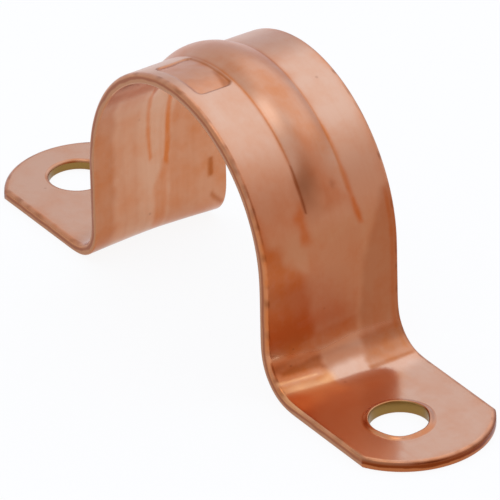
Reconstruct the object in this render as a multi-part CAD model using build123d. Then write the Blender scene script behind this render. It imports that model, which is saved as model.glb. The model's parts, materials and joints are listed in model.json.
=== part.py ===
from build123d import *
import os
from math import cos, radians, sin, sqrt

# Copper saddle clip for a 22 mm tube: one strip, stamped, bent and punched.
# X runs from foot to foot, Y along the tube, Z up from the wall that the feet lie on.
# The origin is on the wall, midway between the feet. Lengths are millimetres, angles degrees.

# Strip
strip_width = 12.0
strip_thickness = 0.85
outer_edge_round = 0.32
inner_edge_break = 0.12

# Saddle over the tube, made lower than the tube so that the screws nip it to the wall
tube_diameter = 22.0
seat_clearance = 0.1
tube_nip = 2.0

# Bends between legs and feet, measured in the hollow of the bend
left_bend_radius = 2.1
right_bend_radius = 2.8

# Feet, measured from the leg: the sides run straight, then an arc crops the end at the tip
foot_side_length = 13.1
foot_length = 16.65

# Screw holes, each measured from its leg and from the middle of the strip
hole_diameter = 4.56
left_hole_reach = 11.7
left_hole_offset = -0.1
right_hole_reach = 10.3
right_hole_offset = -0.7
rolled_rim_round = 0.25
burr_width = 0.5
burr_height = 0.16
burr_bulge = 0.05

# Stiffening bead along the crown: full over the top, fading down to a faint toe that runs out in each leg
bead_width = 3.9
bead_height = 0.57
bead_offset = 0.3
bead_full_angle = 52.0
bead_fade_angle = 17.0
bead_toe_angle = -6.0
bead_toe_height = 0.03

# Bare panel pressed into the flange beside the bead
panel_angle = 30.0
panel_middle_angle = 95.0
panel_edge_margin = 1.05
panel_bead_margin = 0.15
panel_corner_round = 0.6
panel_depth = 0.12

# Allowances: how far cutters pass the metal, how deep the bead's form is rooted in it,
# the sections that shape the bead, and the largest share of its wall that a round may take
cut_overrun = 2.0
bead_rooting = 0.04
bead_toe_steps = 4
bead_fade_steps = 8
bead_crown_steps = 8
round_share = 0.45

# Sizes that follow from the ones above
seat_radius = tube_diameter / 2 + seat_clearance
crown_radius = seat_radius + strip_thickness
axis_height = tube_diameter / 2 - tube_nip
half_width = strip_width / 2
left_outside_bend = left_bend_radius + strip_thickness
right_outside_bend = right_bend_radius + strip_thickness
shoulder_reach = seat_radius + foot_side_length
tip_reach = seat_radius + foot_length
end_sagitta = foot_length - foot_side_length
end_radius = (half_width**2 + end_sagitta**2) / (2 * end_sagitta)
hole_radius = hole_diameter / 2
largest_round = round_share * strip_thickness


def strip_section():
    """Cross-section of the rolled strip, standing on its inner face."""
    middle_low = (Align.CENTER, Align.MIN)
    section = Rectangle(strip_width, strip_thickness, align=middle_low)
    outer_corners = section.vertices().sort_by(Axis.Y)[2:]
    section = fillet(outer_corners, min(outer_edge_round, largest_round))
    inner_corners = section.vertices().group_by(Axis.Y)[0]
    return chamfer(inner_corners, min(inner_edge_break, largest_round))


def underside_path():
    """Line of the strip's inner face from the left tip over the tube to the right tip."""
    end = tip_reach + cut_overrun
    left_foot = Line((-end, 0), (-seat_radius - left_outside_bend, 0))
    left_bend = JernArc(left_foot @ 1, left_foot % 1, left_outside_bend, 90)
    left_leg = Line(left_bend @ 1, (-seat_radius, axis_height))
    arch = JernArc(left_leg @ 1, left_leg % 1, seat_radius, -180)
    right_leg = Line(arch @ 1, (seat_radius, right_outside_bend))
    right_bend = JernArc(right_leg @ 1, right_leg % 1, right_outside_bend, 90)
    right_foot = Line(right_bend @ 1, (end, 0))
    return Plane.XZ * Wire([left_foot, left_bend, left_leg, arch, right_leg, right_bend, right_foot])


def bent_strip():
    """The strip bent to shape, with square ends that are still too long."""
    path = underside_path()
    start = Plane(origin=path @ 0, x_dir=(0, 1, 0), z_dir=path % 0)
    return sweep(start * strip_section(), path=path)


def end_offcut(side):
    """Waste beyond the arc that crops one foot, side being -1 for left and 1 for right."""
    waste_length = end_sagitta + 2 * cut_overrun
    waste = Rectangle(waste_length, strip_width + cut_overrun)
    waste = Pos(side * (shoulder_reach + waste_length / 2), 0) * waste
    waste -= Pos(side * (tip_reach - end_radius), 0) * Circle(end_radius)
    return Pos(0, 0, -cut_overrun) * extrude(waste, strip_thickness + 2 * cut_overrun)


def arch_plane(angle, offset):
    """Section plane across the arch: local X points out from the tube's axis, local Y along it."""
    outward = (cos(radians(angle)), 0, sin(radians(angle)))
    onward = (-sin(radians(angle)), 0, cos(radians(angle)))
    return Plane(origin=(0, offset, axis_height), x_dir=outward, z_dir=onward)


def bead_stations():
    """Angles round the arch where the bead's section is set, each with its share of the full form."""
    toe_step = (bead_fade_angle - bead_toe_angle) / bead_toe_steps
    fade_step = (bead_full_angle - bead_fade_angle) / bead_fade_steps
    crown_step = (180 - 2 * bead_full_angle) / bead_crown_steps
    rising = [(bead_toe_angle + toe_step * index, 0.0) for index in range(bead_toe_steps)]
    for index in range(bead_fade_steps + 1):
        share = (1 - cos(radians(180 * index / bead_fade_steps))) / 2
        rising.append((bead_fade_angle + fade_step * index, share))
    crown = [(bead_full_angle + crown_step * index, 1.0) for index in range(1, bead_crown_steps)]
    falling = [(180 - angle, share) for angle, share in reversed(rising)]
    return rising + crown + falling


def bead_form(face_radius, floor_radius, wall):
    """Solid of the bead standing on one face of the strip, wall being how far that face is inside."""
    sections = []
    for angle, share in bead_stations():
        crown = bead_rooting + bead_toe_height + (bead_height - bead_toe_height) * share
        half = sqrt((bead_width / 2) ** 2 - 2 * wall * crown)
        base = face_radius - bead_rooting
        near, far, top = (base, -half), (base, half), (base + crown, 0)
        outline = ThreePointArc(near, top, far)
        outline += Polyline(far, (floor_radius, half), (floor_radius, -half), near)
        sections.append(arch_plane(angle, bead_offset) * make_face(outline))
    return loft(sections)


def stamp_bead(strip):
    """Raise the bead on the outside of the arch and hollow it on the tube's side."""
    middle_radius = seat_radius + strip_thickness / 2
    strip += bead_form(crown_radius, middle_radius, 0)
    return strip - bead_form(seat_radius, seat_radius - cut_overrun, strip_thickness)


def panel_recess():
    """Shallow rounded panel between the near edge of the strip and the bead."""
    near = -half_width + panel_edge_margin
    far = bead_offset - bead_width / 2 - panel_bead_margin
    depth = panel_depth + cut_overrun
    section = Pos(crown_radius - panel_depth + depth / 2, 0) * Rectangle(depth, far - near)
    start = arch_plane(panel_middle_angle - panel_angle / 2, (near + far) / 2)
    tube_axis = Axis((0, 0, axis_height), (0, -1, 0))
    block = revolve(start * section, tube_axis, panel_angle)
    corners = block.edges().filter_by(GeomType.LINE).filter_by(Axis.Y, reverse=True)
    return fillet(corners, min(panel_corner_round, round_share * (far - near)))


def punch():
    """Straight punch for one hole, standing through the foot's upper face."""
    low = -strip_thickness - cut_overrun
    return Pos(0, 0, low) * extrude(Circle(hole_radius), cut_overrun - low)


def rim_flare():
    """Cutter that rolls a hole's rim down from the foot's upper face."""
    rim = min(rolled_rim_round, largest_round)
    rolled = JernArc((hole_radius, -rim), (0, 1), rim, -90)
    brim = hole_radius + rim
    above = Polyline(rolled @ 1, (brim, cut_overrun), (0, cut_overrun), (0, -rim), rolled @ 0)
    return revolve(Plane.XZ * make_face(rolled + above), Axis.Z)


def burr_ring():
    """Low lip that the punch leaves standing round a hole, on the foot's upper face."""
    lip = SagittaArc((hole_radius, burr_height), (hole_radius + burr_width, 0), burr_bulge)
    foot_line = Polyline(lip @ 1, (0, 0), (0, burr_height), lip @ 0)
    return revolve(Plane.XZ * make_face(lip + foot_line), Axis.Z)


def punch_holes(strip):
    """Punch both screw holes: the left rim is rolled down, the right one keeps its burr."""
    left = Pos(-seat_radius - left_hole_reach, left_hole_offset, strip_thickness)
    right = Pos(seat_radius + right_hole_reach, right_hole_offset, strip_thickness)
    strip += right * burr_ring()
    return strip - [left * punch(), left * rim_flare(), right * punch()]


saddle_clip = bent_strip()
saddle_clip -= [end_offcut(side) for side in (-1, 1)]
saddle_clip = stamp_bead(saddle_clip)
saddle_clip -= panel_recess()
saddle_clip = punch_holes(saddle_clip)

os.makedirs("parts", exist_ok=True)
export_step(saddle_clip, "parts/saddle_clip.step")
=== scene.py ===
import json
from functools import partial
from math import asin, atan2, cos, degrees, inf, pi, radians, sin, sqrt, tan
from typing import NamedTuple

import bmesh
import bpy
from bpy.props import FloatProperty, FloatVectorProperty, IntProperty, PointerProperty
from mathutils import Matrix, Vector, noise


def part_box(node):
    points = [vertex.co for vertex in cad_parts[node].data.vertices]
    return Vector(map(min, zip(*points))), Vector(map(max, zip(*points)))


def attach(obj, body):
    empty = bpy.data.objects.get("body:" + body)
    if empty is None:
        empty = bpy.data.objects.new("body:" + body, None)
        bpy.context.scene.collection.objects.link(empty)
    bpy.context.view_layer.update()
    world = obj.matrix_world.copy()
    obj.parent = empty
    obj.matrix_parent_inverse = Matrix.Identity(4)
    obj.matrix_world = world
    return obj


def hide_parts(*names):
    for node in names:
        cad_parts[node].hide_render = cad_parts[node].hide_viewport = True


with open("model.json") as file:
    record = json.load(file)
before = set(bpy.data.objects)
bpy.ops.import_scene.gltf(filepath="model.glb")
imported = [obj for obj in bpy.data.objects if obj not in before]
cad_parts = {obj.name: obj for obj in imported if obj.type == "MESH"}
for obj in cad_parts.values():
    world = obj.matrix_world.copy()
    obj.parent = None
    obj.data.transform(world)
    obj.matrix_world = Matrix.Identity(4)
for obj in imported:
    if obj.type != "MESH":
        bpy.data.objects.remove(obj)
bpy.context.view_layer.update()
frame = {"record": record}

bl_info = {
    "name": "Copper saddle clip",
    "version": (1, 0, 0),
    "blender": (4, 5, 0),
    "location": "View3D > Sidebar > Saddle clip",
    "description": "Stamps and bends a copper clip for a tube, and stands it on a plain studio floor",
    "category": "Add Mesh",
}

# Lengths are metres in the clip's own frame: X from foot to foot, Y along the tube, Z up from the wall.
MM = 0.001
MOUNTS = {mount["name"]: mount for mount in frame["record"]["mounts"]}
TUBE_SEAT = MOUNTS["tube_seat"]
SCREW_HOLES = MOUNTS["screw_holes"]
_, CLIP_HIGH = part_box("saddle_clip")
SEAT_RADIUS = TUBE_SEAT["dims"]["r_mm"] * MM
AXIS_HEIGHT = TUBE_SEAT["pos_m"][2]
STRIP_THICKNESS = 0.85 * MM
BEAD_HEIGHT = CLIP_HIGH.z - AXIS_HEIGHT - SEAT_RADIUS - STRIP_THICKNESS
HOLE_RADIUS = SCREW_HOLES["dims"]["hole_r_mm"] * MM
HOLE_REACH = SCREW_HOLES["dims"]["spacing_x_mm"] * MM / 2
LEFT, RIGHT = -1, 1
OUTER, INNER = 1, -1


def linear(hex_colour):
    """Linear red, green and blue of an sRGB hex colour."""
    channels = [int(hex_colour[place : place + 2], 16) / 255 for place in (1, 3, 5)]
    return tuple(c / 12.92 if c <= 0.04045 else ((c + 0.055) / 1.055) ** 2.4 for c in channels)


def length(name, description, default):
    """A size in metres that a user may change."""
    return FloatProperty(
        name=name, description=description, default=default, precision=5, subtype="DISTANCE", unit="LENGTH"
    )


def turn(name, description, in_degrees):
    """An angle that a user may change, its default given in degrees."""
    return FloatProperty(
        name=name, description=description, default=radians(in_degrees), subtype="ANGLE", unit="ROTATION"
    )


def colour(name, description, hex_colour):
    """A colour that a user may change, its default given as sRGB hex."""
    return FloatVectorProperty(
        name=name, description=description, default=linear(hex_colour), subtype="COLOR", min=0.0, max=1.0
    )


class ClipSizes(bpy.types.PropertyGroup):
    """Sizes of the strip and of what is pressed, bent and punched in it."""

    half_width: length("Half width", "Half the width of the strip", CLIP_HIGH.y)
    thickness: length("Thickness", "Thickness of the strip", STRIP_THICKNESS)
    outer_round: length("Outer edge round", "Round of the edges of the outer face", 0.32 * MM)
    inner_break: length("Inner edge break", "Round of the edges of the inner face", 0.12 * MM)
    seat_radius: length("Seat radius", "Radius of the arch on the tube's side", SEAT_RADIUS)
    axis_height: length("Axis height", "Height of the tube's axis above the wall", AXIS_HEIGHT)
    left_bend: length("Left bend", "Outside radius of the bend at the left foot", 2.95 * MM)
    right_bend: length("Right bend", "Outside radius of the bend at the right foot", 3.65 * MM)
    bend_easing: length("Bend easing", "Run over which the strip eases into and out of a curve", 1.3 * MM)
    left_draw: length("Left draw", "How far the middle of the left bend is drawn in", 0.1 * MM)
    right_draw: length("Right draw", "How far the middle of the right bend is drawn in", 0.28 * MM)
    draw_run: length("Draw run", "Distance along the strip over which a bend is drawn in", 4.4 * MM)
    flange_tilt: turn("Flange tilt", "How far the strip falls away on each side of the bead's track", 1.5)
    tip_reach: length("Tip reach", "Distance from the middle of the clip to the tip of a foot", CLIP_HIGH.x)
    end_rise: length("End rise", "How far the arc of a foot's end stands past its shoulders", 3.55 * MM)
    hole_radius: length("Hole radius", "Radius of the screw holes", HOLE_RADIUS)
    hole_shift: length("Hole shift", "How far each hole lies off the line of the holes", 0.3 * MM)
    rolled_rim: length("Rolled rim", "Round of the rim of the left hole", 0.25 * MM)
    lip_width: length("Lip width", "Width of the lip round the right hole", 0.5 * MM)
    lip_height: length("Lip height", "Height of the lip round the right hole", 0.16 * MM)
    lip_crest: length("Lip crest", "Round of the lip's inner edge", 0.1 * MM)
    bead_width: length("Bead width", "Width of the stiffening bead", 3.9 * MM)
    bead_height: length("Bead height", "Height of the stiffening bead", BEAD_HEIGHT)
    bead_offset: length("Bead offset", "Distance of the bead from the middle of the strip", 0.3 * MM)
    bead_toe: length("Bead toe", "Height of the bead's faint track down the legs", 0.03 * MM)
    bead_wall: length("Bead wall", "How much narrower the bead is on each side of its hollow", 0.3 * MM)
    bead_full: turn("Bead full", "Angle up the arch from which the bead is full", 52)
    bead_fade: turn("Bead fade", "Angle up the arch at which the bead has faded away", 17)
    panel_turn: turn("Panel turn", "Angle of arch that the bare panel covers", 30)
    panel_middle: turn("Panel middle", "Angle from the crown to the panel's middle, towards the left", 5)
    panel_margin: length("Panel margin", "Distance of the panel from the edge of the strip", 1.05 * MM)
    panel_gap: length("Panel gap", "Distance of the panel from the bead", 0.15 * MM)
    panel_round: length("Panel round", "Round of the panel's corners", 0.6 * MM)
    panel_depth: length("Panel depth", "Depth of the panel below the outer face", 0.12 * MM)
    panel_grain: length("Panel grain", "Size of the dimples of the panel's floor", 0.8 * MM)
    panel_dimple: length("Panel dimple", "Depth of the dimples of the panel's floor", 0.02 * MM)
    panel_slope: length("Panel slope", "Width of the slope at the panel's border", 0.14 * MM)
    wave_height: length("Wave height", "Height of the faint waves of rolled strip", 0.02 * MM)
    wave_size: length("Wave size", "Distance from wave to wave", 5.0 * MM)
    wave_seed: IntProperty(name="Wave seed", description="Picks the pattern of the waves", default=3)


class CopperFinish(bpy.types.PropertyGroup):
    """Colours of the copper's faces: bright, tarnished red, stained brown and a painted highlight, the red
    and brown also painting reflection and shade; and of its sheared walls, whose dark bands are partly
    painted shade.
    """

    bright: colour("Bright copper", "Colour of the clean rolled faces", "#DAA684")
    # This red is tarnished copper, and also painted reflection where one copper face mirrors another on the
    # right leg, bend and foot
    tarnish: colour("Tarnish", "Colour of the faces where they have turned red", "#D47A40")
    # This brown is stains, and also painted shade in the bead's creases, the right bend and on the inner
    # face
    stain: colour("Stain", "Colour of the brown smudges", "#7C3A14")
    # Painted highlight: this bright orange paints the glint line on the right bend and the brighter
    # reflection on the foot beside it
    burnished: colour("Burnished copper", "Colour of the faces that the bending tool rubbed", "#FBB67A")
    slit: colour("Slit edge", "Colour of the long edges where the blade rubbed them", "#B47A52")
    # The tear colours are partly painted shade: their dark band also stands for the shadowed floor that the
    # wall mirrors
    slit_tear_and_shade: colour("Slit tear", "Colour of the long edges where the metal tore", "#9A5630")
    cropped: colour("Cropped end", "Colour of the foot ends where the blade rubbed them", "#B86C3E")
    cropped_tear_and_shade: colour("Cropped tear", "Colour of the foot ends where the metal tore", "#7E3408")
    punched: colour("Punched wall", "Colour of the walls of the holes", "#97743C")


class StudioStage(bpy.types.PropertyGroup):
    """Camera, floor and soft light."""

    azimuth: turn("Azimuth", "Direction of the camera round the clip", 56.4668)
    elevation: turn("Elevation", "Height of the camera above the horizon", 30.4454)
    roll: turn("Roll", "Turn of the camera about its line of sight", -1.297)
    target: FloatVectorProperty(
        name="Target",
        description="Point of the clip that the camera looks at",
        default=(1.1804 * MM, -0.1496 * MM, 5.4968 * MM),
        subtype="TRANSLATION",
        unit="LENGTH",
    )
    distance: length("Distance", "Distance of the camera from its target", 600.68 * MM)
    lens: FloatProperty(
        name="Lens", description="Focal length", default=576, subtype="DISTANCE_CAMERA", unit="CAMERA"
    )
    floor_size: length("Floor size", "Side of the floor", 12.0)
    floor: colour("Floor", "Colour of the floor", "#FAFAFA")
    floor_glow: FloatProperty(
        name="Floor glow",
        description="Share of the floor's white that the clip's shadow can't darken",
        default=0.91,
        subtype="FACTOR",
    )
    mirrored_glow: FloatProperty(
        name="Mirrored glow",
        description="The same share where the copper mirrors the floor",
        default=0.6,
        subtype="FACTOR",
    )
    room: colour("Room", "Colour of the room's light", "#DDE5F9")
    # Painted shade: the card glows with the tone of the shaded floor beside the clip, and only the copper's
    # reflections see it
    card: colour("Card", "Colour of the card that the right leg mirrors", "#CCB09E")
    beige: colour("Beige side", "Colour of the lower room, from the camera round to the right", "#D4B2A0")
    warm: colour("Warm side", "Colour of the upper room at the right", "#EEE0E0")
    dim: colour("Dim side", "Colour of the unlit room beside the camera", "#927058")
    overhead: FloatVectorProperty(
        name="Overhead light",
        description="Linear colour and strength of the soft light above and behind the clip",
        default=(1.1, 1.29, 1.65),
        subtype="COLOR",
    )
    lamp: FloatVectorProperty(
        name="Lamp",
        description="Linear colour and strength of the small soft lamp nearly straight above",
        default=(1.75, 2.0, 2.4),
        subtype="COLOR",
    )


def add_node(tree, kind, inputs=None, **settings):
    """Add a node, set its properties and fill each input with a value, a socket or a node's result."""
    node = tree.nodes.new(kind)
    for name, value in settings.items():
        setattr(node, name, value)
    for key, value in (inputs or {}).items():
        if isinstance(key, int):
            socket = node.inputs[key]
        else:
            socket = next(s for s in node.inputs if s.enabled and s.name == key)
        if isinstance(value, bpy.types.Node):
            value = next(s for s in value.outputs if s.enabled)
        if isinstance(value, bpy.types.NodeSocket):
            tree.links.new(value, socket)
        else:
            socket.default_value = value
    return node


def emptied(block):
    """Empty the node tree of a material or a world, and give the function that adds its nodes."""
    block.use_nodes = True
    block.node_tree.nodes.clear()
    return partial(add_node, block.node_tree)


def smooth_step(low, high, value):
    """Smooth rise from 0 at low to 1 at high."""
    share = min(max((value - low) / (high - low), 0.0), 1.0)
    return share * share * (3 - 2 * share)


def graded(stops, steps):
    """Values from stop to stop, each stretch divided into its own number of steps."""
    values = [stops[0]]
    for low, high, count in zip(stops, stops[1:], steps):
        values += [low + (high - low) * (index + 1) / count for index in range(count)]
    return values


# Steps of the mesh and of the line it is bent along; a line beside each round keeps the flat faces flat
SUPPORT = 0.08 * MM
ROUND_STEPS = 6
BREAK_STEPS = 3
SIDE_STEPS = 22
ARC_STEPS = 60
RING_STEPS = 14
ALONG_STEPS = (40, 80, 72, 110, 52)
ACROSS_STEPS = (5, 28, 26, 22)
PATH_STEP = 0.04 * MM
LEG_SOLVES = 4

# Powers by which the colour of a sheared wall holds back on the round that leads into it
SLIT_ONSET = 2
ROLLED_ONSET = 3


def side_path(sizes, bend):
    """Line of the inner face from the crown down one leg to the foot, and where its parts begin.

    Each point is (run, out, up). The curve eases linearly into and out of the arch and the bend, and the
    leg is as long as it must be for the foot to lie on the wall.
    """
    arch_end = sizes.seat_radius * pi / 2
    leg = sizes.axis_height - bend
    for _ in range(LEG_SOLVES):
        bend_start = arch_end + leg
        bend_end = bend_start + bend * pi / 2
        run, out, up, tilt = 0.0, 0.0, sizes.axis_height + sizes.seat_radius, 0.0
        points = [(run, out, up)]
        while run < bend_end + sizes.bend_easing:
            shares = []
            for station in (arch_end, bend_start, bend_end):
                past = run + PATH_STEP / 2 - station + sizes.bend_easing
                shares.append(min(max(past / (2 * sizes.bend_easing), 0.0), 1.0))
            curving = (1 - shares[0]) / sizes.seat_radius - (shares[1] - shares[2]) / bend
            tilt += curving * PATH_STEP / 2
            out += cos(tilt) * PATH_STEP
            up -= sin(tilt) * PATH_STEP
            tilt += curving * PATH_STEP / 2
            run += PATH_STEP
            points.append((run, out, up))
        leg += up
    stations = {
        "arch": arch_end,
        "bend": bend_start,
        "bend_middle": (bend_start + bend_end) / 2,
        "root": run,
        "slack": run - out,
    }
    return points, stations


class StripBlank:
    """Points and faces of the strip before it is bent.

    A point's place is (along, across, up): along the inner face from the crown, across the strip, and up
    from the inner face. Each point also keeps how far it is slit, cropped or punched metal, and whether it
    lies on the rim where the outer face turns over into an edge, or on the lip of a hole.
    """

    def __init__(self, sizes):
        self.sizes = sizes
        self.flat = []
        self.kinds = {"slit": [], "cropped": [], "punched": [], "rim": [], "lip": []}
        self.faces = []

    def line(self, points, **kinds):
        """Add a line of points and give their numbers; each kind is one share or a list of shares."""
        first = len(self.flat)
        self.flat += points
        for name, shares in self.kinds.items():
            given = kinds.get(name, 0.0)
            shares += given if isinstance(given, list) else [given] * len(points)
        return list(range(first, len(self.flat)))

    def band(self, line, other, closed=False):
        """Join two lines of as many points by a row of faces."""
        for index in range(len(line) - (0 if closed else 1)):
            after = (index + 1) % len(line)
            self.faces.append((line[index], line[after], other[after], other[index]))


def quarter_round(radius, steps):
    """Offsets of a quarter round from its flat face down into its wall, as (inward, down, turned)."""
    turns = [pi / 2 * index / steps for index in range(steps + 1)]
    return [(radius * (1 - sin(t)), radius * (1 - cos(t)), t / (pi / 2)) for t in turns]


def edge_lines(sizes):
    """Inset, height and cut share of each line over the strip's edge, from outer face to inner one."""
    over = quarter_round(sizes.outer_round, ROUND_STEPS)
    under = quarter_round(sizes.inner_break, BREAK_STEPS)
    lines = [(sizes.outer_round + SUPPORT, sizes.thickness, 0.0)]
    lines += [(inset, sizes.thickness - down, turned) for inset, down, turned in over]
    lines += [(0.0, (sizes.thickness - sizes.outer_round + sizes.inner_break) / 2, 1.0)]
    lines += [(inset, up, turned) for inset, up, turned in reversed(under)]
    lines += [(sizes.inner_break + SUPPORT, 0.0, 0.0)]
    return lines


def end_arc(sizes):
    """Radius of the arc that crops the end of a foot."""
    return (sizes.half_width**2 + sizes.end_rise**2) / (2 * sizes.end_rise)


def foot_outline(sizes, start, tip, inset):
    """Outline of a foot from the far side of its root round the tip to the near side, set in from its edge.

    Each point is (along, across, cropped), cropped being 1 on the end's arc and 0 on the sides.
    """
    end_radius = end_arc(sizes) - inset
    centre = tip - inset - end_radius
    side = sizes.half_width - inset
    corner = asin(side / end_radius)
    shoulder = centre + end_radius * cos(corner)
    run = [start + (shoulder - start) * index / SIDE_STEPS for index in range(1, SIDE_STEPS)]
    turns = [corner - 2 * corner * index / ARC_STEPS for index in range(ARC_STEPS + 1)]
    far = [(s, side, 0.0) for s in run]
    end = [(centre + end_radius * cos(t), end_radius * sin(t), 1.0) for t in turns]
    near = [(s, -side, 0.0) for s in reversed(run)]
    return far + end + near


def rim_lines(sizes, rolled):
    """Radius, height and cut share of each ring of a screw hole, from the outer face down through it."""
    bore, top = sizes.hole_radius, sizes.thickness
    if rolled:
        over = [(sizes.rolled_rim + SUPPORT, 0.0, 0.0)] + quarter_round(sizes.rolled_rim, ROUND_STEPS)
        rings = [(bore + out, top - down, turned**ROLLED_ONSET) for out, down, turned in over]
    else:
        rings = [(bore + sizes.lip_width + SUPPORT, top, 0.0)]
        for index in range(ROUND_STEPS + 1):
            share = index / ROUND_STEPS
            out = sizes.lip_width + (sizes.lip_crest - sizes.lip_width) * share
            rings.append((bore + out, top + sizes.lip_height * smooth_step(0, 1, share), 0.0))
        over = quarter_round(sizes.lip_crest, BREAK_STEPS)[1:]
        rings += [(bore + out, top + sizes.lip_height - down, turned) for out, down, turned in over]
    under = quarter_round(sizes.inner_break, BREAK_STEPS)
    rings += [(bore, (top + sizes.inner_break) / 2, 1.0)]
    rings += [(bore + out, up, turned) for out, up, turned in reversed(under)]
    rings += [(bore + sizes.inner_break + SUPPORT, 0.0, 0.0)]
    return rings


# How far the lip of the right hole stands out of round: bearing on the foot in degrees, and millimetres
LIP_WANDER = (
    (-34, 0.2),
    (8, 0.0),
    (57, -0.1),
    (100, 0.05),
    (146, 0.1),
    (190, 0.06),
    (236, 0.0),
    (285, 0.04),
    (326, 0.2),
)


def lip_wander(bearing):
    """How far the lip stands out of round towards a bearing, easing from one listed bearing to the next."""
    first, _ = LIP_WANDER[0]
    turned = first + (degrees(atan2(bearing.y, bearing.x)) - first) % 360
    spans = zip(LIP_WANDER, LIP_WANDER[1:])
    (low, start), (high, end) = next(span for span in spans if turned <= span[1][0])
    return (start + (end - start) * smooth_step(low, high, turned)) * MM


def punch_foot(blank, upper, lower, centre, rings, ragged):
    """Fill a foot between its two outlines and its screw hole, with rings that turn into the hole's rim."""
    thickness = blank.sizes.thickness
    s_middle, y_middle = centre
    bearings, wanders = [], []
    for number in upper:
        s, y, _ = blank.flat[number]
        bearings.append(Vector((s - s_middle, y - y_middle)).normalized())
        wanders.append(lip_wander(bearings[-1]) if ragged else 0.0)
    circles = []
    for index, (radius, height, cut) in enumerate(rings):
        points = []
        for bearing, wander in zip(bearings, wanders):
            out = bearing * (radius + wander * height / thickness)
            points.append((s_middle + out.x, y_middle + out.y, height))
        lip = 1.0 if index and height > thickness / 2 else 0.0
        circles.append(blank.line(points, punched=cut, lip=lip))
    for line, other in zip(circles, circles[1:]):
        blank.band(line, other, closed=True)
    for outline, circle in ((upper, circles[0]), (lower, circles[-1])):
        last = outline
        for index in range(1, RING_STEPS):
            share = index / RING_STEPS
            points = []
            for a, b in zip(outline, circle):
                points.append(tuple(Vector(blank.flat[a]).lerp(Vector(blank.flat[b]), share)))
            ring = blank.line(points)
            blank.band(last, ring, closed=True)
            last = ring
        blank.band(last, circle, closed=True)


def places_along(sizes, stations):
    """Places of the rows along the strip, with a row at each end of the panel and at each bend."""
    panel_half = sizes.seat_radius * sizes.panel_turn / 2 + 2 * SUPPORT
    panel_at = -sizes.seat_radius * sizes.panel_middle
    bends = {end: stations[end]["bend"] - sizes.bend_easing for end in (LEFT, RIGHT)}
    left_stops = [-stations[LEFT]["root"], -bends[LEFT], panel_at - panel_half]
    right_stops = [panel_at + panel_half, bends[RIGHT], stations[RIGHT]["root"]]
    return graded(left_stops + right_stops, ALONG_STEPS)


def roll_faces(blank, lines, along):
    """Fill the outer and the inner face from foot to foot, and give their rows of points."""
    sizes = blank.sizes
    crease_near = sizes.bead_offset - sizes.bead_width / 2
    crease_far = sizes.bead_offset + sizes.bead_width / 2
    panel_near = -sizes.half_width + sizes.panel_margin - SUPPORT
    rows = {}
    for face, (inset, height, _) in ((OUTER, lines[0]), (INNER, lines[-1])):
        side = sizes.half_width - inset
        across = graded([-side, panel_near, crease_near, crease_far, side], ACROSS_STEPS)
        rows[face] = [blank.line([(s, y, height) for y in across]) for s in along]
        for row, other in zip(rows[face], rows[face][1:]):
            blank.band(row, other)
    return rows


def shear_edges(blank, stations, lines, along, rows):
    """Fill the edges all round the strip, and give the ends of the feet on the outer and the inner face."""
    sizes = blank.sizes
    loops, feet = [], []
    for index, (inset, height, cut) in enumerate(lines):
        side = sizes.half_width - inset
        face = {0: OUTER, len(lines) - 1: INNER}.get(index)
        rim = 1.0 if 0 < index <= ROUND_STEPS else 0.0
        slit_share = cut**SLIT_ONSET
        if face:
            far = [row[-1] for row in rows[face]]
            near = [row[0] for row in reversed(rows[face])]
        else:
            far = blank.line([(s, side, height) for s in along], slit=slit_share, rim=rim)
            near = blank.line([(s, -side, height) for s in reversed(along)], slit=slit_share, rim=rim)
        ends = {}
        for end in (LEFT, RIGHT):
            tip = stations[end]["slack"] + sizes.tip_reach
            outline = foot_outline(sizes, stations[end]["root"], tip, inset)
            cropped = [cut * share for _, _, share in outline]
            slit = [slit_share * (1 - share) for _, _, share in outline]
            points = [(end * s, end * y, height) for s, y, _ in outline]
            ends[end] = blank.line(points, slit=slit, cropped=cropped, rim=rim)
        loops.append(far + ends[RIGHT] + near + ends[LEFT])
        feet.append(ends)
    for line, other in zip(loops, loops[1:]):
        blank.band(line, other, closed=True)
    return {OUTER: feet[0], INNER: feet[-1]}


def cut_blank(sizes, stations):
    """The strip cropped and punched, still flat."""
    blank = StripBlank(sizes)
    lines = edge_lines(sizes)
    along = places_along(sizes, stations)
    rows = roll_faces(blank, lines, along)
    feet = shear_edges(blank, stations, lines, along, rows)
    hole_x, hole_y, _ = SCREW_HOLES["pos_m"]
    for end, rolled in ((LEFT, True), (RIGHT, False)):
        centre = (end * stations[end]["slack"] + hole_x + end * HOLE_REACH, hole_y - end * sizes.hole_shift)
        outlines = []
        for face in (OUTER, INNER):
            root = rows[face][-1] if end == RIGHT else list(reversed(rows[face][0]))
            outlines.append(root + feet[face][end])
        punch_foot(blank, *outlines, centre, rim_lines(sizes, rolled), ragged=not rolled)
    return blank


def panel_share(sizes, s, y):
    """How far a point of the outer face lies in the bare panel, from 0 outside to 1 on its floor."""
    half_long = sizes.seat_radius * sizes.panel_turn / 2
    near = -sizes.half_width + sizes.panel_margin
    far = sizes.bead_offset - sizes.bead_width / 2 - sizes.panel_gap
    across = abs(y - (near + far) / 2) - (far - near) / 2 + sizes.panel_round
    along = abs(s + sizes.seat_radius * sizes.panel_middle) - half_long + sizes.panel_round
    past_corner = sqrt(max(across, 0) ** 2 + max(along, 0) ** 2)
    outside = past_corner + min(max(across, along), 0) - sizes.panel_round
    return smooth_step(0, sizes.panel_slope, -outside)


# Share of its height over which the bead's crease is rounded
CREASE_SOFTNESS = 0.05
# Distance from the bead at which a tilted flange keeps its height
LEVEL_FLANGE = 2.0 * MM


def bead_ends(sizes):
    """Distances from the crown to where the bead is still full and to where it has faded away."""
    return [sizes.seat_radius * (pi / 2 - angle) for angle in (sizes.bead_full, sizes.bead_fade)]


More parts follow.
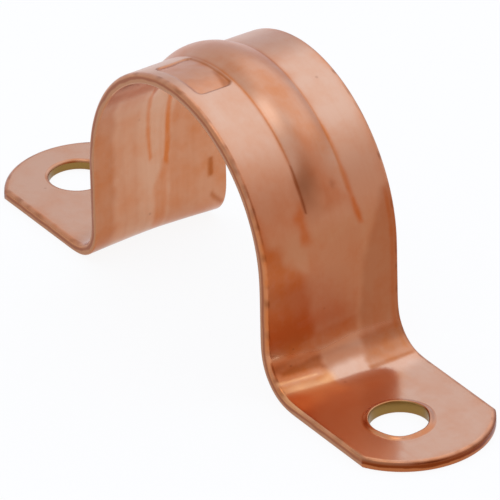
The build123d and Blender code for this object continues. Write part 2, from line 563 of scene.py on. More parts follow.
def pressed_up(sizes, stations, s, y, up):
    """Height of a point of the flat strip once the bead, the panel and the bends are pressed in it."""
    run = abs(s)
    end = RIGHT if s > 0 else LEFT
    on_leg = 1 - smooth_step(stations[end]["bend_middle"], stations[end]["root"], run)

    # The bead stands on the crown, fades down the arch and leaves a faint track on each leg
    raised = sizes.bead_height * (1 - smooth_step(*bead_ends(sizes), run))
    raised = max(raised, sizes.bead_toe * on_leg)
    half = sizes.bead_width / 2
    narrowed = half - sizes.bead_wall * (1 - up / sizes.thickness)
    crown = 1 - ((y - sizes.bead_offset) / narrowed) ** 2
    bead = raised * (crown + sqrt(crown**2 + CREASE_SOFTNESS**2)) / 2

    # Beside the bead's track the flanges fall away a little, level again at the feet
    flange = max(abs(y - sizes.bead_offset) - half, 0.0)
    fall = (LEVEL_FLANGE - flange) * tan(sizes.flange_tilt)
    fall *= on_leg * smooth_step(0, stations[end]["arch"], run)

    # Each bend is drawn in across its middle
    drawn = sizes.right_draw if s > 0 else sizes.left_draw
    drawn *= 1 - (y / sizes.half_width) ** 2
    drawn *= 1 - smooth_step(0, sizes.draw_run, abs(run - stations[end]["bend_middle"]))

    # Rolled strip is never quite flat, apart from the feet, which lie on the wall
    in_waves = Vector((s, y, sizes.wave_seed * sizes.wave_size)) / sizes.wave_size
    wave = sizes.wave_height * noise.noise(in_waves) * on_leg

    sunk = 0.0
    if up > sizes.thickness / 2:
        dimple = sizes.panel_dimple * noise.noise(Vector((s, y, 0.0)) / sizes.panel_grain)
        sunk = (sizes.panel_depth + dimple) * panel_share(sizes, s, y)
    return up + bead + fall + drawn + wave - sunk


class Mark(NamedTuple):
    """A patch of a rolled face that has changed colour: some patches are tarnishing and stains, others
    painted reflection, shade and highlight.

    Its outline lies on the flat strip, as millimetres along from the crown and across; it fades over a
    distance at its border. It turns the copper red, brown, dull and bright orange, each by its own share.
    """

    outline: tuple
    fade: float
    tarnish: float = 0.0
    stain: float = 0.0
    dull: float = 0.0
    burnish: float = 0.0


OUTER_MARKS = (
    # The bead
    Mark(
        ((-9.0, -1.6), (-9.0, 2.2), (13.0, 2.3), (13.0, 0.0), (8.0, -0.5), (3.0, -0.8), (0.5, -1.6)),
        fade=1.7, tarnish=0.46, stain=0.06,
    ),
    # Arch and legs, duller than the bends and the feet
    Mark(
        ((-23.2, -7.0), (-23.2, 7.0), (24.0, 7.0), (23.5, 1.9), (24.1, -1.8), (22.8, -7.0)),
        fade=0.2, dull=0.52,
    ),
    # Right leg: duller still down its middle; a red near flange, partly tarnished and partly a painted
    # reflection of the copper foot; and a brown far one with a red line
    Mark(
        ((15.0, -2.2), (15.4, 0.0), (14.8, 2.8), (17.4, 2.7), (23.5, 2.0), (24.1, -1.9)),
        fade=0.7, tarnish=0.2, dull=0.6,
    ),
    # Painted reflection, partly tarnished: the deep red stands for the copper foot mirrored in the leg
    Mark(
        ((12.6, -6.4), (17.6, -2.4), (19.5, -2.1), (24.2, -1.7), (22.7, -6.4)),
        fade=1.2, tarnish=0.8, stain=0.08,
    ),
    Mark(((20.0, -5.6), (20.4, -2.8), (23.4, -2.3), (22.4, -5.6)), fade=1.8, tarnish=0.75, stain=0.1),
    Mark(
        ((12.6, 6.4), (13.0, 5.0), (17.3, 2.8), (24.8, 2.1), (27.0, 1.6), (26.6, 6.4)),
        fade=0.8, tarnish=0.22, stain=0.2,
    ),
    Mark(((13.0, 5.25), (27.0, 5.2), (27.0, 5.5), (13.0, 5.5)), fade=0.3, tarnish=0.6),
    # Right bend: painted reflection and shade in its hollow, a brown streak on the red near side, a brown
    # far side, a pale middle below a brown band
    Mark(((25.0, -5.2), (24.5, -1.75), (25.9, -1.75), (25.4, -5.2)), fade=0.6, tarnish=0.7, stain=0.45),
    Mark(((23.6, -6.4), (24.0, -1.75), (28.6, -1.75), (28.2, -6.4)), fade=0.7, tarnish=0.6),
    Mark(((24.2, 2.0), (24.0, 6.4), (27.9, 6.4), (28.1, 1.5)), fade=0.7, tarnish=0.5, stain=0.22),
    Mark(((22.4, -1.9), (22.1, 1.9), (23.4, 1.9), (23.7, -1.9)), fade=0.6, tarnish=0.5, stain=0.08),
    Mark(((24.7, -1.9), (24.7, 2.0), (26.2, 1.7), (26.4, -1.8)), fade=1.2, tarnish=0.2, stain=0.25),
    Mark(((27.7, 1.5), (27.5, 5.6), (27.9, 5.6), (28.2, 1.5)), fade=0.3, tarnish=0.5, stain=0.2),
    # Near side of the right foot: a painted reflection of the leg, redder, duller and brighter orange
    Mark(
        ((27.5, -6.4), (29.5, 3.5), (33.0, 0.5), (40.0, -4.5), (40.0, -6.4)),
        fade=1.6, tarnish=0.3, dull=0.2, burnish=0.2,
    ),
    # A painted highlight line on the bend, a painted red reflection of the leg below it, and a painted
    # bright reflection on the foot beside them
    Mark(((25.8, -5.8), (26.3, -2.6), (26.5, -2.6), (26.05, -5.8)), fade=0.3, burnish=0.7),
    Mark(((26.2, -6.4), (26.8, -1.9), (28.2, -1.7), (27.8, -6.4)), fade=0.5, tarnish=0.8, stain=0.22),
    Mark(((27.0, -6.4), (27.2, -1.9), (29.0, -1.6), (30.0, -6.4)), fade=1.8, burnish=0.72),
    # Far side and tip of the right foot
    Mark(
        ((31.0, 6.4), (34.0, 0.5), (41.0, -4.5), (44.0, 0.0), (41.0, 6.4)),
        fade=2.0, tarnish=0.05, stain=0.03,
    ),
    # Flanges of the arch, browner at its top and its foot
    Mark(((-9.0, 2.4), (-9.0, 7.0), (1.0, 7.0), (1.0, 2.4)), fade=3.0, tarnish=0.1, stain=0.06),
    Mark(((8.5, -7.0), (9.0, -1.9), (14.0, -2.0), (14.0, -7.0)), fade=2.0, tarnish=0.22),
    # Creases of the bead: painted crease shade along them, smudges of stain and painted shade where the
    # bead fades, and painted red streaks below
    Mark(((9.4, -1.64), (12.9, -1.56), (12.9, -1.74), (10.6, -1.8)), fade=0.26, tarnish=0.5, stain=0.75),
    Mark(((12.0, -2.05), (12.0, -1.75), (14.9, -1.7), (14.9, -2.5), (13.0, -2.6)), fade=0.7, tarnish=0.8),
    Mark(
        ((7.5, 2.2), (7.5, 2.36), (11.0, 2.5), (13.3, 2.75), (14.9, 3.1), (14.8, 2.6), (12.0, 2.15)),
        fade=0.4, tarnish=0.9,
    ),
    Mark(((10.6, -1.7), (10.8, -0.4), (12.8, -0.2), (13.2, -1.6)), fade=2.0, tarnish=0.1, stain=0.24),
    Mark(((11.2, 1.0), (11.5, 1.35), (11.8, 1.1), (11.5, 0.9)), fade=0.5, stain=0.3),
    # Far corner of the panel
    Mark(((-0.4, -2.05), (1.6, -1.9), (1.8, -2.6), (0.8, -2.4)), fade=0.4, tarnish=0.6, stain=0.4),
)

INNER_MARKS = (
    # Left leg: redder and browner along both sides, lines of painted crease shade along the bead's faint
    # hollow down its middle, and two small smudges
    Mark(
        ((-9.0, -6.4), (-10.0, -4.8), (-17.5, -4.1), (-26.0, -4.4), (-26.0, -6.4)),
        fade=0.9, tarnish=0.5, stain=0.2,
    ),
    Mark(((-10.0, -4.6), (-10.0, -1.8), (-24.0, -1.6), (-24.0, -4.4)), fade=1.6, tarnish=0.2, stain=0.05),
    Mark(((-11.0, 1.2), (-11.0, 6.4), (-26.0, 6.4), (-26.0, 0.6)), fade=0.6, tarnish=0.4, stain=0.08),
    Mark(
        ((-12.4, 0.3), (-12.6, 0.75), (-17.5, 1.0), (-19.5, 0.7), (-19.0, 0.35), (-17.0, 0.6)),
        fade=0.3, tarnish=1.0,
    ),
    Mark(
        ((-19.0, 0.3), (-19.0, 0.75), (-26.0, 0.45), (-26.0, -0.5), (-21.4, -0.6)),
        fade=0.5, tarnish=0.5, stain=0.05,
    ),
    Mark(
        ((-11.0, -1.3), (-12.3, -1.2), (-18.5, -0.7), (-18.7, -0.95), (-12.2, -1.6)),
        fade=0.3, tarnish=0.8,
    ),
    Mark(((-20.2, 4.4), (-20.2, 4.75), (-21.8, 4.75), (-21.8, 4.35)), fade=0.35, tarnish=0.8, stain=0.4),
    Mark(((-23.2, 4.6), (-24.6, 5.9), (-25.0, 5.7), (-23.6, 4.5)), fade=0.35, tarnish=0.8, stain=0.35),
)

# The borders of marks and of worn edges stray in a grain of this size, by this share of a mark's fade
MARK_GRAIN = 1.2 * MM
MARK_WANDER = 0.3

# Shares of red and brown over the whole inner face, painted shade of the shadowed floor it mirrors under
# the arch, and shares of tarnishing and stains in combed streaks of this length and width
INNER_SHADE_RED = 0.04
INNER_SHADE_DARK = 0.06
COMB_TARNISH = 0.12
COMB_STAIN = 0.05
COMB_LENGTH = 12.0 * MM
COMB_WIDTH = 0.5 * MM

# The same for the outer face: tarnishing and stains along its worn edges, their nicked rims, the lips of
# the holes, and the panel's floor and border, and painted shade along the bead's creases
EDGE_TARNISH = 0.32
EDGE_BAND = 1.0 * MM
EDGE_WANDER = EDGE_BAND / 3
RIM_TARNISH = 0.28
RIM_NICKS = 0.8
NICK_SIZE = 0.7 * MM
CREASE_SHADE_RED = 0.7
CREASE_SHADE_DARK = 0.15
CREASE_LINE = 0.2 * MM
LIP_TARNISH = 0.6
LIP_STAIN = 0.2
PANEL_TARNISH = 0.46
PANEL_BORDER_TARNISH = 0.8
PANEL_BORDER_STAIN = 0.35


def inside_by(outline, place):
    """How far a point lies inside a closed outline, negative where it lies outside."""
    nearest, inside = inf, False
    for start, end in zip(outline, outline[1:] + outline[:1]):
        run = end - start
        share = min(max((place - start).dot(run) / run.length_squared, 0.0), 1.0)
        nearest = min(nearest, (start + run * share - place).length)
        if (start.y > place.y) != (end.y > place.y):
            if place.x < start.x + run.x * (place.y - start.y) / run.y:
                inside = not inside
    return nearest if inside else -nearest


def from_edge(sizes, stations, s, y):
    """Distance of a point of the flat strip from the nearest edge, the cropped ends among them."""
    end = RIGHT if s > 0 else LEFT
    end_radius = end_arc(sizes)
    centre = stations[end]["slack"] + sizes.tip_reach - end_radius
    return min(sizes.half_width - abs(y), end_radius - Vector((max(abs(s) - centre, 0.0), y)).length)


def colour_marks(sizes, stations, flat, rim, lip):
    """Shares of red, brown, dullness and painted highlight at each point of the strip; the red and brown
    hold tarnishing and stains as well as painted reflection and shade.
    """
    outlines = {}
    for face, marks in ((OUTER, OUTER_MARKS), (INNER, INNER_MARKS)):
        outlines[face] = [(mark, [Vector(corner) for corner in mark.outline]) for mark in marks]
    shares = {"tarnish": [], "stain": [], "dull": [], "burnish": []}
    for (s, y, up), on_rim, on_lip in zip(flat, rim, lip):
        face = OUTER if up > sizes.thickness / 2 else INNER
        place = Vector((s, y)) / MM
        wander = noise.noise(Vector((s, y, face * sizes.half_width)) / MARK_GRAIN)
        unreddened, undarkened, shining, unhighlighted = 1.0, 1.0, 1.0, 1.0
        for mark, outline in outlines[face]:
            depth = inside_by(outline, place) + wander * mark.fade * MARK_WANDER
            share = smooth_step(-mark.fade / 2, mark.fade / 2, depth)
            unreddened *= 1 - mark.tarnish * share
            undarkened *= 1 - mark.stain * share
            shining *= 1 - mark.dull * share
            unhighlighted *= 1 - mark.burnish * share
        if face == INNER:
            # Painted shade: an even red and brown over the inner face stands for the shadowed floor it
            # mirrors; the combed streaks are tarnishing and stains
            combed = max(noise.noise(Vector((s / COMB_LENGTH, y / COMB_WIDTH, 0.0))), 0.0)
            unreddened *= (1 - INNER_SHADE_RED) * (1 - COMB_TARNISH * combed)
            undarkened *= (1 - INNER_SHADE_DARK) * (1 - COMB_STAIN * combed)
        else:
            worn = 1 - smooth_step(0, EDGE_BAND, from_edge(sizes, stations, s, y) + wander * EDGE_WANDER)
            nicked = max(noise.noise(Vector((s, y, up)) / NICK_SIZE), 0.0)
            # Painted crease shade: red and brown lines along the bead's creases stand for the shade and
            # copper-on-copper reflection in them
            off_crease = abs(abs(y - sizes.bead_offset) - sizes.bead_width / 2)
            crease_shade = 1 - smooth_step(*bead_ends(sizes), abs(s))
            crease_shade *= 1 - smooth_step(0, CREASE_LINE, off_crease)
            sunk = panel_share(sizes, s, y)
            # This is 1 halfway down the slope of the panel's border
            border = 4 * sunk * (1 - sunk)
            unreddened *= (1 - CREASE_SHADE_RED * crease_shade) * (1 - EDGE_TARNISH * worn) * (1 - RIM_TARNISH * on_rim)
            unreddened *= (1 - PANEL_TARNISH * sunk) * (1 - PANEL_BORDER_TARNISH * border)
            unreddened *= 1 - LIP_TARNISH * on_lip * (1 + wander)
            undarkened *= (1 - CREASE_SHADE_DARK * crease_shade) * (1 - PANEL_BORDER_STAIN * border)
            undarkened *= (1 - RIM_NICKS * on_rim * nicked) * (1 - LIP_STAIN * on_lip)
        shares["tarnish"].append(1 - unreddened)
        shares["stain"].append(1 - undarkened)
        shares["dull"].append(1 - shining)
        shares["burnish"].append(1 - unhighlighted)
    return shares


def stamped_mesh(sizes, stations):
    """Mesh of the strip cropped, punched and stamped, not yet bent, with its colouring as attributes."""
    blank = cut_blank(sizes, stations)
    pressed = [(s, y, pressed_up(sizes, stations, s, y, up)) for s, y, up in blank.flat]
    mesh = bpy.data.meshes.new("strip_blank")
    mesh.from_pydata(pressed, [], blank.faces)
    rim, lip = blank.kinds.pop("rim"), blank.kinds.pop("lip")
    for name, values in (blank.kinds | colour_marks(sizes, stations, blank.flat, rim, lip)).items():
        mesh.attributes.new(name, "FLOAT", "POINT").data.foreach_set("value", values)
    flat = [part for point in blank.flat for part in point]
    mesh.attributes.new("blank", "FLOAT_VECTOR", "POINT").data.foreach_set("vector", flat)
    outward = bmesh.new()
    outward.from_mesh(mesh)
    bmesh.ops.recalc_face_normals(outward, faces=outward.faces)
    outward.to_mesh(mesh)
    outward.free()
    return mesh


# How far the guide runs on past each bend, which is more than a foot's length
GUIDE_SPARE = 14.0 * MM


def guide_curve(left, right):
    """Curve of the inner face from beyond one tip to beyond the other, and its length up to the crown."""
    sides = []
    for end, path in ((LEFT, left), (RIGHT, right)):
        _, out, _ = path[-1]
        reach = [(end * o, 0.0, u) for _, o, u in path[1:]]
        sides.append(reach + [(end * (out + GUIDE_SPARE), 0.0, 0.0)])
    points = sides[0][::-1] + [(0.0, 0.0, left[0][2])] + sides[1]
    curve = bpy.data.curves.new("bend_guide", "CURVE")
    curve.dimensions = "3D"
    spline = curve.splines.new("POLY")
    spline.points.add(len(points) - 1)
    for point, place in zip(spline.points, points):
        point.co = (*place, 1.0)
    lengths = [(Vector(a) - Vector(b)).length for a, b in zip(points, points[1:])]
    return bpy.data.objects.new("bend_guide", curve), sum(lengths[: len(sides[0])])


def bending_tree():
    """Node tree that bends the stamped strip along its guide."""
    tree = bpy.data.node_groups.new("Bend strip", "GeometryNodeTree")
    tree.is_modifier = True
    tree.interface.new_socket("Clip", in_out="OUTPUT", socket_type="NodeSocketGeometry")
    inputs = {"Strip": "Geometry", "Guide": "Object", "Crown at": "Float", "Copper": "Material"}
    for name, kind in inputs.items():
        tree.interface.new_socket(name, in_out="INPUT", socket_type="NodeSocket" + kind)
    node = partial(add_node, tree)
    given = node("NodeGroupInput").outputs

    place = node("ShaderNodeSeparateXYZ", {"Vector": node("GeometryNodeInputPosition")}).outputs
    along = node("ShaderNodeMath", {0: place["X"], 1: given["Crown at"]}, operation="ADD")
    line = node("GeometryNodeObjectInfo", {"Object": given["Guide"]}).outputs["Geometry"]
    guide = node(
        "GeometryNodeSampleCurve", {"Curves": line, "Length": along}, mode="LENGTH", use_all_curves=True
    )
    upward = node(
        "ShaderNodeVectorMath", {0: guide.outputs["Tangent"], 1: (0, 1, 0)}, operation="CROSS_PRODUCT"
    )
    raised = node("ShaderNodeVectorMath", {0: upward, "Scale": place["Z"]}, operation="SCALE")
    sideways = node("ShaderNodeCombineXYZ", {"Y": place["Y"]})
    shifted = node("ShaderNodeVectorMath", {0: raised, 1: sideways}, operation="ADD")
    bent = node("ShaderNodeVectorMath", {0: shifted, 1: guide.outputs["Position"]}, operation="ADD")

    moved = node("GeometryNodeSetPosition", {"Geometry": given["Strip"], "Position": bent})
    smooth = node("GeometryNodeSetShadeSmooth", {"Geometry": moved})
    whole = node("GeometryNodeRealizeInstances", {"Geometry": smooth})
    finished = node("GeometryNodeSetMaterial", {"Geometry": whole, "Material": given["Copper"]})
    node("NodeGroupOutput", {"Clip": finished})
    return tree


# Roll marks, long and narrow; real ones are a few micrometres wide, and these 0.25 mm so that they show
ROLL_MARK = (14.0 * MM, 0.25 * MM, 1.0 * MM)
ROLL_MARK_DEPTH = 0.004 * MM
ROLL_MARK_STRENGTH = 0.25
ROLL_MARK_TARNISH = 0.05

# Cloudy patches: the most tarnishing that they bring, and the share of a mark's red left between them
PATCH_SIZE = 2.5 * MM
PATCH_DEPTH = 0.003 * MM
PATCH_TARNISH = 0.26
THIN_TARNISH = 0.8

# Specks: the share of places without one, a speck's core and rim as shares of the spacing, and its dirt
SPECK_SPACING = 1.3 * MM
SPECKLESS = 0.8
SPECK_CORE = 0.05
SPECK_RIM = 0.12
SPECK_DIRT = 0.25

# Heights over the inner face of a sheared wall's dark band, partly torn metal and partly painted shade of
# the shadowed floor it mirrors, and how softly and unevenly the band ends
SLIT_DARK_BAND = (0.3 * MM, 0.56 * MM)
CROPPED_DARK_BAND = (0.25 * MM, 0.76 * MM)
DARK_BAND_FADE = 0.1 * MM
DARK_BAND_WANDER = 0.07 * MM

# Roughness of each state of the surface
ROLLED_ROUGHNESS = (0.1, 0.17)
REDDENED_ROUGHNESS = 0.22
DARKENED_ROUGHNESS = 0.26
PAINTED_HIGHLIGHT_ROUGHNESS = 0.16
DULLED_ROUGHNESS = 0.45
SHEARED_ROUGHNESS = 0.32


def uneven_reddening(node, patches, streaks, marked):
    """Share of red: that of the marks, tarnishing and painted reflection, thinner between the patches, and
    a faint tarnishing everywhere.
    """
    cloudy = node(
        "ShaderNodeMapRange",
        {"Value": patches, "From Min": 0.42, "From Max": 0.68, "To Max": PATCH_TARNISH},
    )
    combed = node(
        "ShaderNodeMapRange",
        {"Value": streaks, "From Min": 0.45, "From Max": 0.75, "To Max": ROLL_MARK_TARNISH},
    )
    faint = node("ShaderNodeMath", {0: cloudy, 1: combed}, operation="ADD")
    kept = node(
        "ShaderNodeMapRange", {"Value": patches, "From Min": 0.3, "From Max": 0.7, "To Min": THIN_TARNISH}
    )
    return node("ShaderNodeMath", {0: marked, 1: kept, 2: faint}, operation="MULTIPLY_ADD", use_clamp=True)


def specked_darkening(node, blank, marked):
    """Share of brown: that of the marks, stains and painted shade, and specks where dirt has etched the
    face.
    """
    cells = node("ShaderNodeTexVoronoi", {"Vector": blank, "Scale": 1 / SPECK_SPACING})
    chosen = node("ShaderNodeSeparateColor", {"Color": cells.outputs["Color"]}).outputs["Red"]
    rare = node("ShaderNodeMath", {0: chosen, 1: SPECKLESS}, operation="GREATER_THAN")
    dot = node(
        "ShaderNodeMapRange",
        {"Value": cells.outputs["Distance"], "From Min": SPECK_RIM, "From Max": SPECK_CORE},
    )
    speck = node("ShaderNodeMath", {0: dot, 1: rare}, operation="MULTIPLY")
    return node(
        "ShaderNodeMath", {0: speck, 1: SPECK_DIRT, 2: marked}, operation="MULTIPLY_ADD", use_clamp=True
    )


def sheared_walls(node, finish, blank, patches):
    """Tone of each kind of sheared wall: a dark band, partly torn metal and partly painted shade of the
    shadowed floor that the wall mirrors, lighter where the blade rubbed it.
    """
    height = node("ShaderNodeSeparateXYZ", {"Vector": blank}).outputs["Z"]
    ragged = node(
        "ShaderNodeMapRange",
        {
            "Value": patches,
            "From Min": 0.35,
            "From Max": 0.65,
            "To Min": -DARK_BAND_WANDER,
            "To Max": DARK_BAND_WANDER,
        },
    )
    wavy = node("ShaderNodeMath", {0: height, 1: ragged}, operation="ADD")
    tones = {"punched": (*finish.punched, 1)}
    for wall, rubbed, tear, (low, high) in (
        ("slit", finish.slit, finish.slit_tear_and_shade, SLIT_DARK_BAND),
        ("cropped", finish.cropped, finish.cropped_tear_and_shade, CROPPED_DARK_BAND),
    ):
        above = node("ShaderNodeMapRange", {"Value": wavy, "From Min": low, "From Max": low + DARK_BAND_FADE})
        below = node("ShaderNodeMapRange", {"Value": wavy, "From Min": high + DARK_BAND_FADE, "From Max": high})
        # The dark band: torn metal, and painted shade of the shadowed floor the wall mirrors
        dark_band = node("ShaderNodeMath", {0: above, 1: below}, operation="MULTIPLY")
        tones[wall] = node(
            "ShaderNodeMix", {"Factor": dark_band, "A": (*rubbed, 1), "B": (*tear, 1)}, data_type="RGBA"
        )
    return tones


def rolled_copper(finish):
    """Copper strip, cold rolled and bright, tarnished red, with brown stains and sheared edges.

    A bright metal mirror of low roughness, pink where it shows the light room and deep orange where one
    copper face shows another; faint streaks run along the strip as the rolls left them, and a trace of
    clear film adds a white glint. Tarnishing reddens and dulls it, and the sheared walls of the edges and
    holes are darker and rough. Part of the red and brown is painted reflection and shade: copper mirrored
    in copper, shade in the creases, the bends, under the arch and on the sheared walls; and a bright orange
    is a painted highlight on the right bend and the foot beside it.
    """
    material = bpy.data.materials.new("copper_cold_rolled_bright")
    node = emptied(material)
    blank = node("ShaderNodeAttribute", attribute_name="blank").outputs["Vector"]
    shares = {}
    for name in ("tarnish", "stain", "burnish", "dull", "punched", "slit", "cropped"):
        shares[name] = node("ShaderNodeAttribute", attribute_name=name).outputs["Fac"]

    stretched = node("ShaderNodeMapping", {"Vector": blank, "Scale": [1 / size for size in ROLL_MARK]})
    streaks = node(
        "ShaderNodeTexNoise", {"Vector": stretched, "Scale": 1.0, "Detail": 3.0, "Roughness": 0.6}
    )
    patches = node(
        "ShaderNodeTexNoise", {"Vector": blank, "Scale": 1 / PATCH_SIZE, "Detail": 4.0, "Roughness": 0.62}
    )

    # Each state lies over those before it, with its share, tone and roughness; a dull face keeps its tone
    reddened = uneven_reddening(node, patches, streaks, shares["tarnish"])
    darkened = specked_darkening(node, blank, shares["stain"])
    layers = [
        (reddened, (*finish.tarnish, 1), REDDENED_ROUGHNESS),
        (darkened, (*finish.stain, 1), DARKENED_ROUGHNESS),
        (shares["burnish"], (*finish.burnished, 1), PAINTED_HIGHLIGHT_ROUGHNESS),
        (shares["dull"], None, DULLED_ROUGHNESS),
    ]
    for wall, tone in sheared_walls(node, finish, blank, patches).items():
        layers.append((shares[wall], tone, SHEARED_ROUGHNESS))
    smoothest, roughest = ROLLED_ROUGHNESS
    metal = (*finish.bright, 1)
    rough = node(
        "ShaderNodeMapRange",
        {"Value": streaks, "From Min": 0.3, "From Max": 0.7, "To Min": smoothest, "To Max": roughest},
    )
    for share, tone, roughness in layers:
        if tone is not None:
            metal = node("ShaderNodeMix", {"Factor": share, "A": metal, "B": tone}, data_type="RGBA")
        rough = node("ShaderNodeMix", {"Factor": share, "A": rough, "B": roughness})

    peel = node("ShaderNodeBump", {"Height": patches, "Strength": 1.0, "Distance": PATCH_DEPTH})
    grain = node(
        "ShaderNodeBump",
        {"Height": streaks, "Strength": ROLL_MARK_STRENGTH, "Distance": ROLL_MARK_DEPTH, "Normal": peel},
    )
    shader = node(
        "ShaderNodeBsdfPrincipled",
        {
            "Base Color": metal,
            "Metallic": 1.0,
            "Roughness": rough,
            "Normal": grain,
            "Coat Weight": 0.1,
            "Coat Roughness": 0.12,
        },
    )
    node("ShaderNodeOutputMaterial", {"Surface": shader})
    return material


class TUBECLIP_OT_bend_strip(bpy.types.Operator):
    """Crop, punch, stamp and bend the copper strip, and give it its finish"""

    bl_idname = "tubeclip.bend_strip"
    bl_label = "Bend the strip"
    bl_options = {"REGISTER", "UNDO"}

    def execute(self, context):
        scene = context.scene
        sizes = scene.clip_sizes
        stations = {}
        left, stations[LEFT] = side_path(sizes, sizes.left_bend)
        right, stations[RIGHT] = side_path(sizes, sizes.right_bend)
        strip = bpy.data.objects.new("bent_strip", stamped_mesh(sizes, stations))
        guide, crown_at = guide_curve(left, right)
        scene.collection.objects.link(strip)
        scene.collection.objects.link(guide)

        tree = bending_tree()
        bending = strip.modifiers.new("Bend", "NODES")
        bending.node_group = tree
        given = {"Guide": guide, "Crown at": crown_at, "Copper": rolled_copper(scene.copper_finish)}
        for socket in tree.interface.items_tree:
            if socket.name in given:
                bending[socket.identifier] = given[socket.name]
        evaluated = strip.evaluated_get(context.evaluated_depsgraph_get())
        bent = bpy.data.meshes.new_from_object(evaluated)
        strip.modifiers.remove(bending)
        strip.data = bent
        bpy.data.objects.remove(guide)
        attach(strip, "root")
        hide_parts("saddle_clip")
        return {"FINISHED"}


def white_floor(stage):
    """Painted board floor: matt, white to the eye, with the clip's own soft shadow on it."""
    material = bpy.data.materials.new("white_painted_board_matt")
    node = emptied(material)
    path = node("ShaderNodeLightPath").outputs
    seen = node("ShaderNodeMath", {0: path["Is Camera Ray"], 1: path["Is Glossy Ray"]}, operation="MAXIMUM")
    seen = node("ShaderNodeMath", {0: seen, 1: path["Is Transmission Ray"]}, operation="MAXIMUM")
    paint = node("ShaderNodeBsdfDiffuse", {"Color": (*stage.floor, 1)})
    glow = node("ShaderNodeEmission", {"Color": (1, 1, 1, 1), "Strength": 1.0})
    lift = node(
        "ShaderNodeMapRange",
        {"Value": path["Is Camera Ray"], "To Min": stage.mirrored_glow, "To Max": stage.floor_glow},
    )
    lifted = node("ShaderNodeMixShader", {0: lift, 1: paint, 2: glow})
    board = node("ShaderNodeMixShader", {0: seen, 1: paint, 2: lifted})
    node("ShaderNodeOutputMaterial", {"Surface": board})
    return material


def beige_card(stage):
    """Card of painted shade for the right leg to mirror: an even beige glow that stands for the shaded
    floor beside the clip, and lights nothing else.
    """
    material = bpy.data.materials.new("beige_card_matt")
    node = emptied(material)
    glow = node("ShaderNodeEmission", {"Color": (*stage.card, 1), "Strength": 1.0})
    node("ShaderNodeOutputMaterial", {"Surface": glow})
    return material


def direction(bearing, height):
    """Unit vector at a bearing from +X towards +Y and a height above the horizon, in degrees."""
    bearing, height = radians(bearing), radians(height)
    return Vector((cos(height) * cos(bearing), cos(height) * sin(bearing), sin(height)))


class RoomSide(NamedTuple):
    """A part of the room with a tone of its own.

    Its middle lies at a bearing and a height. The tone is full up to one angle from there and has faded
    away at another. All are degrees.
    """

    tone: str
    bearing: float
    height: float
    full: float
    faded: float


ROOM_SIDES = (
    RoomSide("beige", 5, 12, 10, 52),
    RoomSide("warm", 42, 50, 4, 20),
    RoomSide("dim", 0, 22, 6, 25),
    RoomSide("overhead", 108, 56, 26, 41.5),
    RoomSide("lamp", -80, 75.5, 4, 17),
)


def soft_room(stage):
    """Room round the clip: bluish white, warm at the right and dim by the camera, with soft light above."""
    world = bpy.data.worlds.new("soft_room")
    node = emptied(world)
    look = node("ShaderNodeTexCoord").outputs["Object"]
    shade = (*stage.room, 1)
    for side in ROOM_SIDES:
        towards = direction(side.bearing, side.height)
        facing = node("ShaderNodeVectorMath", {0: look, 1: towards}, operation="DOT_PRODUCT")
        faded, full = cos(radians(side.faded)), cos(radians(side.full))
        share = node(
            "ShaderNodeMapRange",
            {"Value": facing.outputs["Value"], "From Min": faded, "From Max": full},
            interpolation_type="SMOOTHSTEP",
        )
        tone = (*getattr(stage, side.tone), 1)
        shade = node("ShaderNodeMix", {"Factor": share, "A": shade, "B": tone}, data_type="RGBA")
    light = node("ShaderNodeBackground", {"Color": shade, "Strength": 1.0})
    node("ShaderNodeOutputWorld", {"Surface": light})
    return world


def flat_board(name, low, high, level, material):
    """Level rectangle that belongs to the stage, from its low corner to its high one."""
    mesh = bpy.data.meshes.new(name)
    (left, near), (right, far) = low, high
    corners = [(left, near, level), (right, near, level), (right, far, level), (left, far, level)]
    mesh.from_pydata(corners, [], [(0, 1, 2, 3)])
    mesh.materials.append(material)
    board = bpy.data.objects.new(name, mesh)
    bpy.context.scene.collection.objects.link(board)
    return board


# The floor lies just below the feet, and the card just above it, clear of the strip
FLOOR_LEVEL = -0.02 * MM
CARD_LEVEL = 0.03 * MM
CARD_CORNER = (9.0 * MM, 6.6 * MM)
CARD_REACH = 3.0
CLIP_END = 10.0


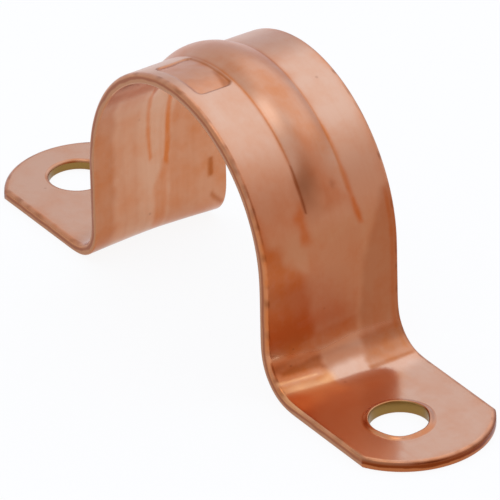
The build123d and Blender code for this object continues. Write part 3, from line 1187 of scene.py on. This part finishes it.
class TUBECLIP_OT_set_stage(bpy.types.Operator):
    """Lay the floor, light the studio and aim the camera"""

    bl_idname = "tubeclip.set_stage"
    bl_label = "Set the stage"
    bl_options = {"REGISTER", "UNDO"}

    def execute(self, context):
        scene = context.scene
        stage = scene.studio_stage
        half = stage.floor_size / 2
        flat_board("floor", (-half, -half), (half, half), FLOOR_LEVEL, white_floor(stage))
        reach = (CARD_REACH, CARD_REACH)
        # Painted shade, seen only in the copper's reflections
        card = flat_board("beige_card", CARD_CORNER, reach, CARD_LEVEL, beige_card(stage))
        card.visible_camera = False
        card.visible_diffuse = False
        card.visible_shadow = False
        scene.world = soft_room(stage)

        round_by, rise, roll = stage.azimuth, stage.elevation, stage.roll
        back = Vector((sin(round_by) * cos(rise), -cos(round_by) * cos(rise), sin(rise)))
        level_right = Vector((cos(round_by), sin(round_by), 0))
        level_up = back.cross(level_right)
        right = level_right * cos(roll) + level_up * sin(roll)
        up = level_up * cos(roll) - level_right * sin(roll)
        place = Matrix.Translation(Vector(stage.target) + back * stage.distance)
        camera = bpy.data.objects.new("camera", bpy.data.cameras.new("camera"))
        camera.data.lens = stage.lens
        camera.data.clip_end = CLIP_END
        camera.matrix_world = place @ Matrix((right, up, back)).transposed().to_4x4()
        scene.collection.objects.link(camera)
        scene.camera = camera
        scene.view_settings.view_transform = "Standard"
        return {"FINISHED"}


class VIEW3D_PT_tubeclip(bpy.types.Panel):
    """Steps that make the clip and its stage"""

    bl_label = "Saddle clip"
    bl_space_type = "VIEW_3D"
    bl_region_type = "UI"
    bl_category = "Saddle clip"

    def draw(self, context):
        for step in (TUBECLIP_OT_bend_strip, TUBECLIP_OT_set_stage):
            self.layout.operator(step.bl_idname)


CLASSES = (
    ClipSizes,
    CopperFinish,
    StudioStage,
    TUBECLIP_OT_bend_strip,
    TUBECLIP_OT_set_stage,
    VIEW3D_PT_tubeclip,
)


def register():
    """Make the operators, the panel and the settings known to Blender."""
    for kind in CLASSES:
        bpy.utils.register_class(kind)
    bpy.types.Scene.clip_sizes = PointerProperty(type=ClipSizes)
    bpy.types.Scene.copper_finish = PointerProperty(type=CopperFinish)
    bpy.types.Scene.studio_stage = PointerProperty(type=StudioStage)


def unregister():
    """Take back what register added."""
    del bpy.types.Scene.studio_stage
    del bpy.types.Scene.copper_finish
    del bpy.types.Scene.clip_sizes
    for kind in reversed(CLASSES):
        bpy.utils.unregister_class(kind)


def main():
    """Make the clip and its stage."""
    register()
    bpy.ops.tubeclip.bend_strip()
    bpy.ops.tubeclip.set_stage()


if __name__ == "__main__":
    main()
